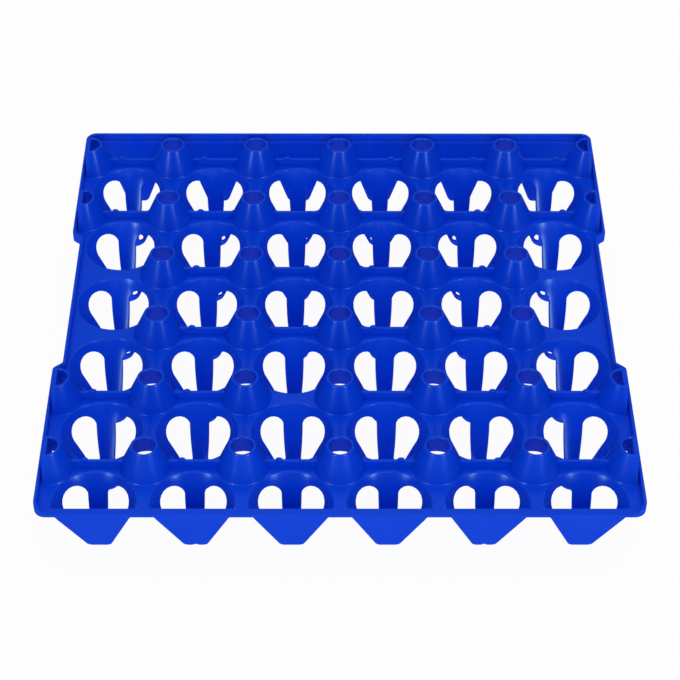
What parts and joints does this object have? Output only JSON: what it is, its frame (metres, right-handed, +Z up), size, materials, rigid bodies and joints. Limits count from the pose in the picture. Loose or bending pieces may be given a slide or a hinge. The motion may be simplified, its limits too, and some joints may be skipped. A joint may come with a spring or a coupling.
{
  "type": "plastic egg tray",
  "caption": "Moulded plastic egg tray: square deck of tapered cups with windows between four ribs, hollow stacking posts between the cups, low rim and finger recesses.",
  "frame": {"origin": "centre of the tray's outline in plan, at the plane the cups' feet stand on", "axes": "+Z up out of the cups, +Y from the open front edge to the walled back edge, +X along the rows to the right seen from the front"},
  "size_m": [0.3034, 0.3032, 0.052],
  "materials": {
    "moulded_polypropylene": "satin, as moulded"
  },
  "bodies": {
    "root": {"egg_tray": "moulded_polypropylene"}
  },
  "joints": []
}
